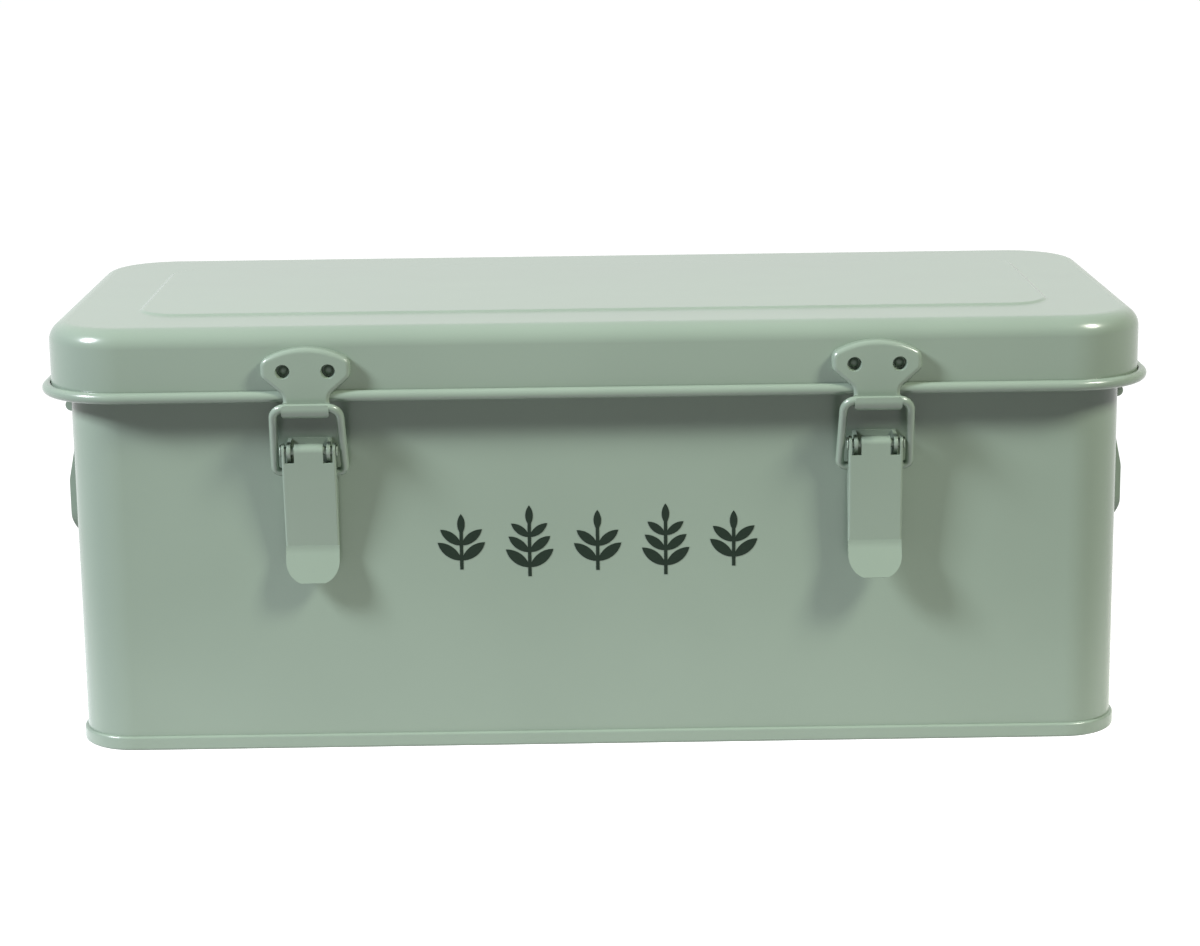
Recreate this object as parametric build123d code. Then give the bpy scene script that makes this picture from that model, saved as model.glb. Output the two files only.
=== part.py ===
"""A pressed-steel seed box with a hinged lid, two toggle latches and two drop handles.

Millimetres. +Z is up and the latches face -Y. Each piece is drawn with the origin
under the middle of the box, and moved at the end so that the origin is under the
middle of everything, latches and hinges included. "out" is a distance outwards
from the middle of the box, square to the face that a piece is mounted on.
"""

from build123d import *
import math
import os

# ---- the body: a wall wrapped from one sheet, and a pan seamed under it ----
BODY_WIDTH = 332.5
BODY_DEPTH = 143.1
BODY_HEIGHT = 135.75  # from the table to the top of the curled rim
BODY_CORNER = 17.6  # outside radius of the upright corners
SHEET = 0.6  # wall, pan, lid and dividers
RIM_REACH = 3.8  # the curled rim stands out this far from the wall
CURL_OPENING = 65.0  # degrees left open where a curl comes back to its sheet
SEAM_WIDTH = 5.0  # flat lock seam up the middle of the back
SEAM_THICKNESS = 0.6

PAN_BEAD_HEIGHT = 4.6
PAN_BEAD_REACH = 1.1
PAN_BEAD_ROUND = 0.5
PAN_FOLD = 0.7  # metal under the wall's lower edge
FLOOR_LIFT = 2.0  # the floor is clear of the table

# ---- the lid: one pressing with a curled bead and a raised panel ----
RIM_CLEARANCE = 1.85  # lid skirt to rim: the skirt swings in by 1.5 as it opens
LID_SEAT = 0.3
LID_EDGE_RADIUS = 6.0
LID_CORNER_EASE = 1.15  # the lid's corners are this much rounder than the rim needs
LID_DROP = 22.8  # from the flat top down to the underside of the bead
BEAD_REACH = 2.9
PANEL_INSET = 26.0
PANEL_CORNER = 15.0
PANEL_RISE = 0.6
PANEL_SLOPE = 2.0

# ---- the dividers: three bays ----
BAYS = 3
DIVIDER_HEIGHT = 108.0
DIVIDER_FLANGE = 8.0
DIVIDER_CORNER = 6.0

# ---- rivets ----
RIVET_RADIUS = 1.5
RIVET_HEAD_RADIUS = 2.3
RIVET_HEAD_HEIGHT = 0.9
RIVET_TAIL_RADIUS = 2.2
RIVET_TAIL_HEIGHT = 0.4
SMALL_RIVET = 0.7  # the striker plates' rivets are this much smaller

# ---- the striker plates on the lid, each ending in an upturned hook ----
LATCH_X = {"left": -89.5, "right": 86.9}
STRIKER_THICKNESS = 0.9
STRIKER_WIDTH = 27.8
STRIKER_TOP_DROP = 5.6  # top of the plate below the lid's flat top
STRIKER_ARCH = 4.0  # rise of its arched top edge
STRIKER_LOBE = 9.0  # from its top down to where the sides draw in
STRIKER_NECK_DROP = 14.8
STRIKER_ROUND = 3.0
STRIKER_EDGE = 1.5  # round where its face turns back into its sides
STRIKER_SIDE_GAP = 0.3  # the sides end this far above the bead
BEAD_GAP = 0.1  # straps pass this far from the lid's bead
JOG_DROP = 3.0  # a strap slopes over the bead in this height
JOG_CLEARANCE = 0.7
HOOK_WIDTH = 14.6
HOOK_RADIUS = 2.3  # inside the hook
HOOK_DROP = 0.85  # hook centre under the bead
LIP_RISE = 1.15  # the lip ends this far above the hook's centre
HOOK_ROUND = 1.5
STRIKER_RIVET_SPACING = 14.0
STRIKER_RIVET_DROP = 7.3
DIMPLE_MOUTH_RADIUS = 2.3
DIMPLE_FLOOR_RADIUS = 1.75

# ---- the wire loops ----
WIRE_RADIUS = 1.3
BAR_GAP = 0.35  # bar to striker plate
HOOK_PLAY = 0.3  # bar to the bottom of the hook
PIN_BEHIND_BAR = 5.35  # lever pin nearer to the wall than the bar
PIN_BELOW_BAR = 14.56
CRANK_DROP = 8.0  # lever pin to the loop's ends, along the lever
CRANK_BACK = 2.8  # and across it, which takes them past the line from bar to pin
LOOP_SIDE_GAP = 1.3
LOOP_TAPER = 0.7  # narrower at the bar, each side
LOOP_TOP_BEND = 3.7
LOOP_FOOT_BEND = 2.1
LOOP_END_GAP = 0.35

# ---- the levers and their pins ----
LEVER_WIDTH = 16.8
LEVER_THICKNESS = 0.9
LEVER_LENGTH = 31.9  # pin to bend
LEVER_LEAN = {"left": 8.5, "right": 3.5}  # degrees that each leans in towards the wall
LEVER_TIP = 11.2
LEVER_TIP_ANGLE = 25.0
LEVER_BEND = 8.0
LEVER_FOLD_ROUND = 0.7
TIP_ROUND = 6.8
TONGUE_WIDTH = 9.0
TONGUE_WRAP = 235.0  # degrees that the tongue curls round the pin
SLOT_DROP = 3.5  # slots beside the tongue end this far below the pin
CHEEK_EYE_RADIUS = 2.0  # metal round the loop's ends
CHEEK_FOOT_RADIUS = 0.6
CHEEK_FOOT_RISE = 1.6
PIN_RADIUS = 1.35
RUNNING_FIT = 0.05
PIN_HEAD_RADIUS = 1.9
PIN_HEAD_HEIGHT = 0.5
AXIAL_PLAY = 0.2

# ---- the latch bases on the body ----
EAR_THICKNESS = 1.2
EAR_PLAY = 0.7  # ear to lever cheek
EAR_ROUND = 2.2
EAR_BELOW_PIN = 12.0
BASE_THICKNESS = 1.0
BASE_ABOVE_PIN = 3.0
BASE_BELOW_PIN = 25.0
BASE_RIVET_DROPS = (7.0, 19.0)

# ---- the two hinges at the back ----
HINGE_X = 100.0
LEAF_THICKNESS = 1.0
LEAF_WIDTH = 30.0
LEAF_ROUND = 3.0
LID_LEAF_HEIGHT = 9.0
LID_LEAF_TOP_DROP = 7.5
KNUCKLE_WIDTH = 12.0  # of the lid leaf, in the middle
KNUCKLE_GAP = 0.3
HINGE_PIN_RADIUS = 1.2
KNUCKLE_DROP = 0.4  # knuckle under the bead
BODY_LEAF_HEIGHT = 15.0
BODY_LEAF_SLOPE = 8.8  # from the leaf's flat up to the knuckle's centre
HINGE_RIVET_SPACING = 18.0

# ---- the drop handles on the end walls ----
HANDLE_PIVOT_HEIGHT = 107.5
HANDLE_PIVOT_OUT = 2.2  # from the end wall
HANDLE_SHEET = 1.2
HANDLE_LENGTH = 88.0
HANDLE_ARM = 8.0
HANDLE_BACK = 0.9  # wall to the back of the arms
HANDLE_PIN_RADIUS = 1.6
HANDLE_PIN_LENGTH = 10.5
HANDLE_EYE_RADIUS = 1.9
GRIP_TOP_DROP = 15.0
GRIP_SWELL_DROP = 24.5
GRIP_SWELL_END_DROP = 37.5
GRIP_DROP = 43.5
GRIP_SWELL = 1.9  # the grip's face beyond the arms'
GRIP_BEND = 9.0
GRIP_CORNER = 9.0
GRIP_WINDOW_CORNER = 4.0
GRIP_RIM_GAP = 0.5  # end wall to the rim that is turned back round the grip
BRACKET_SHEET = 0.8
BRACKET_BELOW_PIVOT = 5.0
BRACKET_ABOVE_PIVOT = 5.2
BRACKET_ROUND = 2.5
SADDLE_WIDTH = 10.0
SADDLE_GAP = 1.0  # saddle to the handle's arm
HANDLE_RIVET_Y = 14.0

# ---- the print on the front: a row of seedlings ----
PRINT_HEIGHT_MIDDLE = 67.1
PRINT_THICKNESS = 0.1
SPRIG_HEIGHTS = (18.0, 23.0, 19.5, 23.0, 18.0)
SPRIG_SPACING = 21.5
SPRIG_STEM = 1.1
LEAF_LENGTH = 9.5
LEAF_BREADTH = 0.36  # of its length
LEAF_LEAN = 52.0  # degrees from upright
LEAF_STEP = 4.9

OVERCUT = 5.0  # how far a cutter runs past the metal

# ---- sizes that follow ----
rim_radius = (RIM_REACH + SHEET) / 2
rim_out = RIM_REACH - rim_radius
rim_z = BODY_HEIGHT - rim_radius
rim_foot = rim_z - rim_radius  # the rim is drawn apart from the wall above this

lid_overhang = RIM_REACH + RIM_CLEARANCE + SHEET
lid_width = BODY_WIDTH + 2 * lid_overhang
lid_depth = BODY_DEPTH + 2 * lid_overhang
lid_corner = BODY_CORNER + lid_overhang + LID_CORNER_EASE
bead_radius = (BEAD_REACH + SHEET) / 2


def lid_top_height():
    """The lid comes to rest on the rim, with its flat top or with the round of its edge."""
    flat_rests = BODY_HEIGHT + LID_SEAT + SHEET
    side = rim_out - (lid_overhang - LID_EDGE_RADIUS)
    reach = LID_EDGE_RADIUS - SHEET - rim_radius - LID_SEAT
    if 0 < side < reach:
        round_rests = rim_z - math.sqrt(reach**2 - side**2) + LID_EDGE_RADIUS
        return max(flat_rests, round_rests)
    return flat_rests


lid_top = lid_top_height()
bead_bottom = lid_top - LID_DROP
bead_z = bead_bottom + bead_radius

wall_front = BODY_DEPTH / 2
skirt_front = lid_depth / 2
strap_back = skirt_front + BEAD_REACH + BEAD_GAP  # back face of a strap over the bead
jog_z = bead_bottom + 2 * bead_radius + JOG_CLEARANCE

hook_out = strap_back + STRIKER_THICKNESS + HOOK_RADIUS
hook_z = bead_bottom - HOOK_DROP
bar_out = strap_back + STRIKER_THICKNESS + BAR_GAP + WIRE_RADIUS
bar_room = HOOK_RADIUS - WIRE_RADIUS - HOOK_PLAY
bar_z = hook_z - math.sqrt(max(bar_room**2 - (hook_out - bar_out) ** 2, 0))
pin_out = bar_out - PIN_BEHIND_BAR
pin_z = bar_z - PIN_BELOW_BAR
tongue_inner = PIN_RADIUS + RUNNING_FIT
lever_face = pin_out + tongue_inner + LEVER_THICKNESS
cheek_inner = LEVER_WIDTH / 2 - LEVER_THICKNESS
ear_outer = cheek_inner - EAR_PLAY
loop_foot_half = LEVER_WIDTH / 2 + LOOP_SIDE_GAP + WIRE_RADIUS
loop_top_half = loop_foot_half - LOOP_TAPER

knuckle_inner = HINGE_PIN_RADIUS + RUNNING_FIT
knuckle_outer = knuckle_inner + LEAF_THICKNESS
hinge_out = strap_back + LEAF_THICKNESS - knuckle_outer
hinge_z = bead_bottom - KNUCKLE_DROP - knuckle_outer

front_reach = hook_out + HOOK_RADIUS + STRIKER_THICKNESS
back_reach = hinge_out + knuckle_outer
centring = (front_reach - back_reach) / 2  # how far everything moves along Y at the end

wall_end = BODY_WIDTH / 2
pan_inside = SHEET + SHEET  # the pan's upturned edge lies inside the wall
floor_top = FLOOR_LIFT + SHEET
arm_inner = HANDLE_LENGTH / 2 - HANDLE_ARM
saddle_y = arm_inner - SADDLE_GAP - SADDLE_WIDTH / 2


# ---- helpers: a section is drawn as (out, up) and placed on a face of the box ----
def front(x=0.0):
    """The plane of a section through the front face, with out along -Y."""
    return Plane(origin=(x, 0, 0), x_dir=(0, -1, 0), z_dir=(-1, 0, 0))


def back(x=0.0):
    """The plane of a section through the back face, with out along +Y."""
    return Plane(origin=(x, 0, 0), x_dir=(0, 1, 0), z_dir=(1, 0, 0))


def end(y=0.0):
    """The plane of a section through the right end wall, with out along +X."""
    return Plane(origin=(0, y, 0), x_dir=(1, 0, 0), z_dir=(0, -1, 0))


def rect(out_low, out_high, z_low, z_high):
    """A rectangle in a section."""
    size = (out_high - out_low, z_high - z_low)
    return Pos((out_low + out_high) / 2, (z_low + z_high) / 2) * Rectangle(*size)


def curl(out, z, radius, opening_start):
    """The section of a curled edge: a ring of sheet, left open over CURL_OPENING degrees."""
    ring_face = Circle(radius) - Circle(radius - SHEET)
    corners = [(0, 0)]
    for share in (0, 0.5, 1):
        angle = math.radians(opening_start + share * CURL_OPENING)
        corners.append((2 * radius * math.cos(angle), 2 * radius * math.sin(angle)))
    return Pos(out, z) * (ring_face - make_face(Polyline(*corners, close=True)))


def carried_round(section, width, depth, corner):
    """A section, with out counted from the outline, carried round a rounded rectangle."""
    runs = []
    for side in range(4):
        length, reach = (width, depth) if side % 2 == 0 else (depth, width)
        straight = extrude(front() * Pos(reach / 2, 0) * section, length / 2 - corner, both=True)
        runs.append(Rot(0, 0, 90 * side) * straight)
    quarter = revolve(front() * Pos(corner, 0) * section, Axis.Z, 90)
    for turn, (across, along) in enumerate(((1, -1), (1, 1), (-1, 1), (-1, -1))):
        centre = Pos(across * (width / 2 - corner), along * (depth / 2 - corner), 0)
        runs.append(centre * Rot(0, 0, 90 * turn) * quarter)
    return runs[0].fuse(*runs[1:]).clean()


def slab(width, depth, corner, z_low, z_high):
    """A flat plate with rounded corners."""
    return extrude(Pos(0, 0, z_low) * RectangleRounded(width, depth, corner), z_high - z_low)


def band(thickness, *edges):
    """The section of a bent strip of sheet that follows the edges of its middle line."""
    return trace(Curve() + list(edges), thickness)


def rounded_line(points, *radii):
    """A line through the points, its corners rounded by the radii in turn."""
    return FilletPolyline(*points, radius=list(radii) if len(radii) > 1 else radii[0])


def standing(outline, out_low, out_high, facing):
    """An outline in (across, up) on the front (-1) or back (1), from out_low to out_high."""
    plane = Plane(origin=(0, facing * out_low, 0), x_dir=(1, 0, 0), z_dir=(0, -1, 0))
    return extrude(plane * outline, -facing * (out_high - out_low))


def rivet(face, grip, size=1.0):
    """A rivet whose domed head sits on a face plane and whose tail grips the sheet behind."""
    head_radius, head_height = RIVET_HEAD_RADIUS * size, RIVET_HEAD_HEIGHT * size
    dome = (head_radius**2 + head_height**2) / (2 * head_height)
    head = Pos(0, 0, head_height / 2) * Cylinder(head_radius, head_height)
    head &= Pos(0, 0, head_height - dome) * Sphere(dome)
    shank = Pos(0, 0, -grip / 2) * Cylinder(RIVET_RADIUS * size, grip)
    tail_height = RIVET_TAIL_HEIGHT * size
    tail = Pos(0, 0, -grip - tail_height / 2) * Cylinder(RIVET_TAIL_RADIUS * size, tail_height)
    return face * (head + shank + tail)


def rivet_hole(face, size=1.0):
    """A cutter for a rivet's shank, through the sheets at a face plane."""
    return face * Cylinder(RIVET_RADIUS * size, 2 * OVERCUT)


def facing_front(x, out, z):
    """A plane on a front face, looking out."""
    return Plane(origin=(x, -out, z), x_dir=(1, 0, 0), z_dir=(0, -1, 0))


def facing_back(x, out, z):
    """A plane on a back face, looking out."""
    return Plane(origin=(x, out, z), x_dir=(-1, 0, 0), z_dir=(0, 1, 0))


def facing_right(out, y, z):
    """A plane on the right end wall, looking out."""
    return Plane(origin=(out, y, z), x_dir=(0, 1, 0), z_dir=(1, 0, 0))


# ---- where the rivets go ----
striker_rivet_z = lid_top - STRIKER_TOP_DROP - STRIKER_RIVET_DROP
leaf_rivet_z = lid_top - LID_LEAF_TOP_DROP - LID_LEAF_HEIGHT / 2
body_leaf_top = hinge_z - BODY_LEAF_SLOPE
body_leaf_rivet_z = body_leaf_top - BODY_LEAF_HEIGHT / 2


def striker_rivet_faces(out):
    """The planes of the striker plates' rivets at a distance out."""
    return [
        facing_front(x + side * STRIKER_RIVET_SPACING / 2, out, striker_rivet_z)
        for x in LATCH_X.values()
        for side in (-1, 1)
    ]


def base_rivet_faces(out):
    """The planes of the latch bases' rivets at a distance out."""
    return [
        facing_front(x, out, pin_z - drop) for x in LATCH_X.values() for drop in BASE_RIVET_DROPS
    ]


def hinge_rivet_faces(out, z):
    """The planes of the hinge leaves' rivets at a distance out."""
    return [
        facing_back(hinge * HINGE_X + side * HINGE_RIVET_SPACING / 2, out, z)
        for hinge in (-1, 1)
        for side in (-1, 1)
    ]


def handle_rivet_faces(out):
    """The planes of the right handle's rivets at a distance out."""
    return [facing_right(out, side * HANDLE_RIVET_Y, HANDLE_PIVOT_HEIGHT) for side in (-1, 1)]


def half_of(shape, side):
    """The left (-1) or right (1) half of a piece that runs round the whole box."""
    return shape & Pos(side * BODY_WIDTH, 0, 0) * Box(2 * BODY_WIDTH, 2 * BODY_WIDTH, 2 * BODY_WIDTH)


def mirrored(shape):
    """The same piece on the other side of the box."""
    return shape.mirror(Plane.YZ)


# ---- the body ----
def make_body_wall():
    """The wrapped wall up to its rim, with its lock seam and its rivet holes."""
    wall = rect(-SHEET, 0, PAN_FOLD, rim_foot)
    body = carried_round(wall, BODY_WIDTH, BODY_DEPTH, BODY_CORNER)
    seam = rect(wall_front, wall_front + SEAM_THICKNESS, PAN_BEAD_HEIGHT, rim_foot)
    body += extrude(back() * seam, SEAM_WIDTH / 2, both=True)
    holes = [rivet_hole(face) for face in base_rivet_faces(wall_front)]
    holes += [rivet_hole(face) for face in hinge_rivet_faces(wall_front, body_leaf_rivet_z)]
    for face in handle_rivet_faces(wall_end):
        holes += [rivet_hole(face), mirrored(rivet_hole(face))]
    return body - holes


def make_body_rim():
    """The wall's upper edge, curled outwards into a ring that the lid rests on."""
    section = rect(-SHEET, 0, rim_foot, rim_z) + curl(rim_out, rim_z, rim_radius, 180)
    return carried_round(section, BODY_WIDTH, BODY_DEPTH, BODY_CORNER)


def make_base_pan():
    """The floor with its edge folded round the wall's lower edge into a bead."""
    bead = rect(-SHEET, PAN_BEAD_REACH, 0, PAN_BEAD_HEIGHT)
    bead = fillet(bead.vertices().sort_by(Axis.X)[-2:], PAN_BEAD_ROUND)
    fold = rect(-pan_inside, -SHEET, 0, floor_top)
    channel = rect(-SHEET, 0, PAN_FOLD, PAN_BEAD_HEIGHT)
    section = bead + fold - channel
    edge = carried_round(section, BODY_WIDTH, BODY_DEPTH, BODY_CORNER)
    inside = 2 * pan_inside
    corner = BODY_CORNER - pan_inside
    floor = slab(BODY_WIDTH - inside, BODY_DEPTH - inside, corner, FLOOR_LIFT, floor_top)
    return edge + floor


def make_divider(x):
    """A sheet divider, with flanges welded to the floor and to the front and back walls."""
    depth = BODY_DEPTH - 2 * SHEET
    top = floor_top + DIVIDER_HEIGHT
    plate = Pos(x, 0, (floor_top + top) / 2) * Box(SHEET, depth, DIVIDER_HEIGHT)
    flange_x = x + DIVIDER_FLANGE / 2 - SHEET / 2
    foot = Pos(flange_x, 0, floor_top + SHEET / 2) * Box(DIVIDER_FLANGE, depth, SHEET)
    side_height = DIVIDER_HEIGHT - DIVIDER_CORNER
    body = plate + foot
    for side in (-1, 1):
        place = Pos(flange_x, side * (depth - SHEET) / 2, floor_top + side_height / 2)
        body += place * Box(DIVIDER_FLANGE, SHEET, side_height)
    top_corners = body.edges().filter_by(Axis.X).group_by(Axis.Z)[-1]
    return fillet(top_corners, DIVIDER_CORNER * 0.9)


# ---- the lid ----
def make_lid():
    """The pressed lid, with the holes for its rivets."""
    edge_z = lid_top - LID_EDGE_RADIUS
    skirt = rect(-SHEET, 0, bead_z, edge_z)
    edge_ring = Circle(LID_EDGE_RADIUS) - Circle(LID_EDGE_RADIUS - SHEET)
    edge_round = Pos(-LID_EDGE_RADIUS, edge_z) * (
        edge_ring & rect(0, 2 * LID_EDGE_RADIUS, 0, 2 * LID_EDGE_RADIUS)
    )
    bead = curl(BEAD_REACH - bead_radius, bead_z, bead_radius, 180 - CURL_OPENING)
    section = skirt + edge_round + bead
    body = carried_round(section, lid_width, lid_depth, lid_corner)
    edge = 2 * LID_EDGE_RADIUS
    flat_corner = lid_corner - LID_EDGE_RADIUS
    body += slab(lid_width - edge, lid_depth - edge, flat_corner, lid_top - SHEET, lid_top)
    body = body + panel_block(lid_top) - panel_block(lid_top - SHEET)
    holes = [rivet_hole(face, SMALL_RIVET) for face in striker_rivet_faces(skirt_front)]
    holes += [rivet_hole(face) for face in hinge_rivet_faces(skirt_front, leaf_rivet_z)]
    return body - holes


def panel_block(z):
    """The block that the lid's raised panel is pressed over, standing on height z."""
    width = lid_width - 2 * PANEL_INSET
    depth = lid_depth - 2 * PANEL_INSET
    foot = Pos(0, 0, z) * RectangleRounded(width, depth, PANEL_CORNER)
    crown = Pos(0, 0, z + PANEL_RISE) * RectangleRounded(
        width - 2 * PANEL_SLOPE, depth - 2 * PANEL_SLOPE, PANEL_CORNER - PANEL_SLOPE
    )
    return loft([foot, crown], ruled=True)


# ---- the latches ----
def striker_outline():
    """The front view of a striker plate, from its arched top to its hook, about x = 0."""
    top = lid_top - STRIKER_TOP_DROP
    half = STRIKER_WIDTH / 2
    neck = HOOK_WIDTH / 2
    shoulder = top - STRIKER_ARCH
    bottom = hook_z - HOOK_RADIUS - STRIKER_THICKNESS
    edges = [
        ThreePointArc((-half, shoulder), (0, top), (half, shoulder)),
        Line((half, shoulder), (half, top - STRIKER_LOBE)),
        Line((half, top - STRIKER_LOBE), (neck, top - STRIKER_NECK_DROP)),
        Line((neck, top - STRIKER_NECK_DROP), (neck, bottom)),
        Line((neck, bottom), (-neck, bottom)),
        Line((-neck, bottom), (-neck, top - STRIKER_NECK_DROP)),
        Line((-neck, top - STRIKER_NECK_DROP), (-half, top - STRIKER_LOBE)),
        Line((-half, top - STRIKER_LOBE), (-half, shoulder)),
    ]
    face = make_face(Curve() + edges)
    by_height = face.vertices().sort_by(Axis.Y)
    face = fillet(by_height[2:], STRIKER_ROUND)
    low_corners = face.vertices().sort_by(Axis.Y)[:2]
    return fillet(low_corners, HOOK_ROUND)


def make_striker(x):
    """A striker plate: a shallow pressed dish on the lid's skirt, and a hook under the bead.

    Its face stands out as far as the bead. Two dimples bring it back to the skirt for the rivets.
    """
    half = STRIKER_THICKNESS / 2
    middle = HOOK_RADIUS + half
    face_out = strap_back + STRIKER_THICKNESS
    dish_end = bar_z + WIRE_RADIUS
    down = Line((strap_back + half, dish_end), (strap_back + half, hook_z))
    under = ThreePointArc(
        (hook_out - middle, hook_z), (hook_out, hook_z - middle), (hook_out + middle, hook_z)
    )
    lip = Line((hook_out + middle, hook_z), (hook_out + middle, hook_z + LIP_RISE))
    hook = extrude(front() * band(STRIKER_THICKNESS, down, under, lip), STRIKER_WIDTH / 2, both=True)
    hook = hook & standing(striker_outline(), skirt_front - OVERCUT, hook_out + OVERCUT, -1)
    lip_corners = hook.edges().filter_by(Axis.Y)
    lip_corners = lip_corners.filter_by_position(Axis.Y, -hook_out - OVERCUT, -hook_out - HOOK_RADIUS)
    hook = fillet(lip_corners.group_by(Axis.Z)[-1], HOOK_ROUND * 0.7)

    dish = standing(striker_outline(), skirt_front, face_out, -1)
    dish = fillet(dish.faces().sort_by(Axis.Y)[0].edges(), STRIKER_EDGE)
    hollow = offset(striker_outline(), -STRIKER_THICKNESS)
    dish -= standing(hollow, skirt_front - OVERCUT, strap_back, -1)
    bead_top = bead_bottom + 2 * bead_radius
    over_bead = rect(-STRIKER_WIDTH, STRIKER_WIDTH, bead_bottom - LID_DROP, bead_top + STRIKER_SIDE_GAP)
    dish -= standing(over_bead, skirt_front - OVERCUT, strap_back, -1)
    below = rect(-STRIKER_WIDTH, STRIKER_WIDTH, bead_bottom - LID_DROP, dish_end)
    dish -= standing(below, skirt_front - OVERCUT, face_out + OVERCUT, -1)
    plate = Pos(x, 0, 0) * (dish + hook)

    height = face_out - skirt_front
    depth = height - STRIKER_THICKNESS
    widening = (DIMPLE_MOUTH_RADIUS - DIMPLE_FLOOR_RADIUS) / depth
    for side in (-1, 1):
        face = facing_front(x + side * STRIKER_RIVET_SPACING / 2, skirt_front, striker_rivet_z)
        outer_floor = DIMPLE_FLOOR_RADIUS + STRIKER_THICKNESS
        outer_mouth = DIMPLE_MOUTH_RADIUS + STRIKER_THICKNESS
        plate += face * Pos(0, 0, height / 2) * Cone(outer_floor, outer_mouth, height)
        cut_mouth = DIMPLE_MOUTH_RADIUS + widening * OVERCUT
        cutter = Cone(DIMPLE_FLOOR_RADIUS, cut_mouth, depth + OVERCUT)
        plate -= face * Pos(0, 0, STRIKER_THICKNESS + (depth + OVERCUT) / 2) * cutter
        plate -= rivet_hole(face, SMALL_RIVET)
    return plate


def loop_feet(side):
    """How far out and how high a loop's feet are, in its leaning lever."""
    lean = math.radians(LEVER_LEAN[side])
    out = pin_out - CRANK_BACK * math.cos(lean) - CRANK_DROP * math.sin(lean)
    return out, pin_z - CRANK_DROP * math.cos(lean) + CRANK_BACK * math.sin(lean)


def make_loop(side):
    """A wire loop: its bar lies in the hook and its two feet turn into the lever's cheeks."""
    x = LATCH_X[side]
    foot_out, foot_z = loop_feet(side)
    rise = Vector(0, -(bar_out - foot_out), bar_z - foot_z)
    plane = Plane(origin=(x, -foot_out, foot_z), x_dir=(1, 0, 0), z_dir=Vector(1, 0, 0).cross(rise))
    length = rise.length
    foot_end = ear_outer + LOOP_END_GAP
    path = rounded_line(
        [
            (-foot_end, 0),
            (-loop_foot_half, 0),
            (-loop_top_half, length),
            (loop_top_half, length),
            (loop_foot_half, 0),
            (foot_end, 0),
        ],
        LOOP_FOOT_BEND,
        LOOP_TOP_BEND,
        LOOP_TOP_BEND,
        LOOP_FOOT_BEND,
    )
    path = plane * path
    cross = Plane(origin=path @ 0, z_dir=path % 0) * Circle(WIRE_RADIUS)
    return sweep(cross, path)


def cheek_face():
    """The side view of a lever's cheek, with the holes for the pin and the loop's foot."""
    radius = lever_face - pin_out
    foot_z_low = pin_z - LEVER_LENGTH + CHEEK_FOOT_RISE
    rounds = [
        Pos(pin_out, pin_z) * Circle(radius),
        Pos(pin_out - CRANK_BACK, pin_z - CRANK_DROP) * Circle(CHEEK_EYE_RADIUS),
        Pos(lever_face - CHEEK_FOOT_RADIUS, foot_z_low) * Circle(CHEEK_FOOT_RADIUS),
    ]
    edges = [edge for piece in rounds for edge in piece.edges()]
    face = make_hull(edges)
    face -= Pos(pin_out, pin_z) * Circle(PIN_RADIUS + RUNNING_FIT)
    eye = Pos(pin_out - CRANK_BACK, pin_z - CRANK_DROP)
    return face - eye * Circle(WIRE_RADIUS + RUNNING_FIT)


def make_lever(side):
    """A lever: a tongue curled round the pin, a face, two cheeks and an outturned tip."""
    half = LEVER_THICKNESS / 2
    tip_lean = math.radians(LEVER_TIP_ANGLE)
    tip_out = lever_face - half + LEVER_TIP * math.sin(tip_lean)
    middle = tongue_inner + half
    wrap = CenterArc((pin_out, pin_z), middle, 0, TONGUE_WRAP)
    split_z = pin_z - SLOT_DROP
    bend_z = pin_z - LEVER_LENGTH
    tip = (tip_out, bend_z - LEVER_TIP * math.cos(tip_lean))
    upper = Line((lever_face - half, split_z), (lever_face - half, pin_z))
    lower = rounded_line([(lever_face - half, split_z), (lever_face - half, bend_z), tip], LEVER_BEND)
    tongue = extrude(front() * band(LEVER_THICKNESS, upper, wrap), TONGUE_WIDTH / 2, both=True)
    face = extrude(front() * band(LEVER_THICKNESS, lower), LEVER_WIDTH / 2, both=True)
    tip_outline = rect(-LEVER_WIDTH / 2, LEVER_WIDTH / 2, tip[1] - half * math.sin(tip_lean), pin_z)
    tip_outline = fillet(tip_outline.vertices().sort_by(Axis.Y)[:2], TIP_ROUND)
    face = face & standing(tip_outline, pin_out - OVERCUT, tip[0] + OVERCUT, -1)
    lever = tongue + face
    for across in (-1, 1):
        place = front(across * (LEVER_WIDTH / 2 - LEVER_THICKNESS / 2))
        lever += extrude(place * cheek_face(), LEVER_THICKNESS / 2, both=True)
    cheek_end = pin_z - LEVER_LENGTH + CHEEK_FOOT_RISE - CHEEK_FOOT_RADIUS
    lever = Pos(0, pin_out, -pin_z) * (lever & folded_block(cheek_end))
    return Pos(LATCH_X[side], -pin_out, pin_z) * Rot(LEVER_LEAN[side], 0, 0) * lever


def folded_block(cheek_end):
    """The room that a lever fills, with its two long folds rounded down to the cheeks' ends."""
    half = LEVER_WIDTH / 2
    section = Pos(0, -lever_face + LEVER_WIDTH / 2) * Rectangle(LEVER_WIDTH, LEVER_WIDTH)
    section = fillet(section.vertices().sort_by(Axis.Y)[:2], LEVER_FOLD_ROUND)
    folded = extrude(Pos(0, 0, cheek_end) * section, pin_z + half - cheek_end)
    below = Pos(0, -lever_face, cheek_end - half) * Box(LEVER_WIDTH, 2 * LEVER_WIDTH, LEVER_WIDTH)
    return folded + below


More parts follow.
